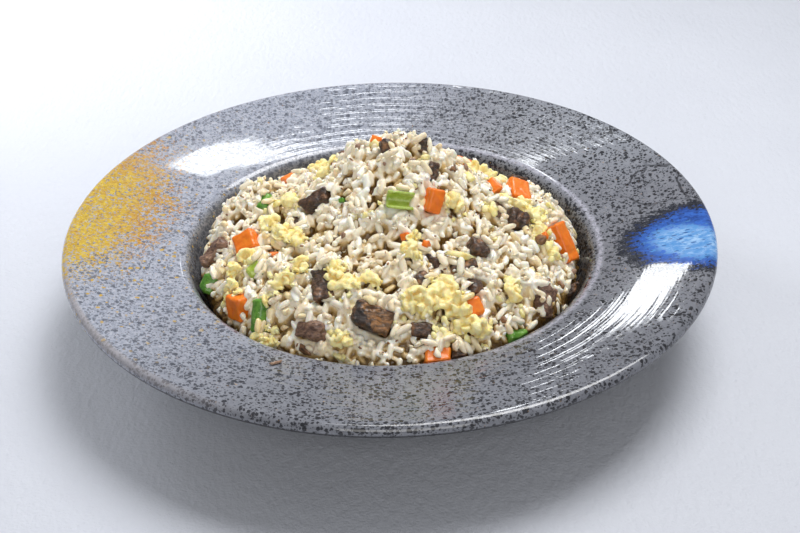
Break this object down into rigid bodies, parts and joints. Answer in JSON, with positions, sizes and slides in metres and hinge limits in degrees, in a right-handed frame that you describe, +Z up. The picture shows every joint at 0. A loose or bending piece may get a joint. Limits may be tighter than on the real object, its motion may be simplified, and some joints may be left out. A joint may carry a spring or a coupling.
{
  "type": "fried rice plate",
  "caption": "Wide-rimmed speckled stoneware plate with a round well, holding a mound of fried rice with scrambled egg, diced carrot, cut green bean and dark meat.",
  "frame": {"origin": "on the table under the middle of the plate", "axes": "+Z up out of the plate; +X to the right and +Y away, as seen from the side with most of the toppings"},
  "size_m": [0.2994, 0.2994, 0.0929],
  "materials": {
    "stoneware": "glossy speckled blue-grey glaze, with a sprayed yellow patch and a blue patch on the rim",
    "rice": "moist, lightly oiled cooked grains",
    "carrot": "moist cut vegetable",
    "green_bean": "glossy skin, paler cut ends",
    "meat": "dark browned, fibrous, slightly moist",
    "egg": "soft scrambled curds, slightly moist"
  },
  "bodies": {
    "root": {"bean_back_left": "green_bean", "bean_behind": "green_bean", "bean_centre": "green_bean", "bean_front_left": "green_bean", "bean_front_right": "green_bean", "bean_left": "green_bean", "bean_olive": "green_bean", "carrot_behind_left": "carrot", "carrot_behind_right": "carrot", "carrot_centre": "carrot", "carrot_front": "carrot", "carrot_left": "carrot", "carrot_low_left": "carrot", "carrot_low_right": "carrot", "carrot_right": "carrot", "carrot_right_back": "carrot", "egg_back_left": "egg", "egg_back_right": "egg", "egg_behind_left": "egg", "egg_behind_right": "egg", "egg_centre": "egg", "egg_front": "egg", "egg_front_left": "egg", "egg_front_low": "egg", "egg_front_mid": "egg", "egg_left_curl": "egg", "egg_left_long": "egg", "egg_left_strip": "egg", "egg_pale_centre": "egg", "egg_right_left": "egg", "egg_right_sheet": "egg", "egg_right_small": "egg", "egg_right_strands": "egg", "egg_top_left": "egg", "egg_upper_centre": "egg", "egg_upper_left": "egg", "meat_behind_left": "meat", "meat_behind_right": "meat", "meat_centre_left": "meat", "meat_front": "meat", "meat_front_curl": "meat", "meat_front_dark": "meat", "meat_front_left": "meat", "meat_left_band": "meat", "meat_left_hollow": "meat", "meat_left_strip": "meat", "meat_middle": "meat", "meat_middle_strip": "meat", "meat_right_block": "meat", "meat_right_dark": "meat", "meat_right_edge": "meat", "meat_right_long": "meat", "meat_right_low": "meat", "meat_right_purple": "meat", "meat_right_wedge": "meat", "meat_top": "meat", "meat_top_right": "meat", "meat_upper_right": "meat", "plate": "stoneware", "rice_heap": "rice"}
  },
  "joints": []
}
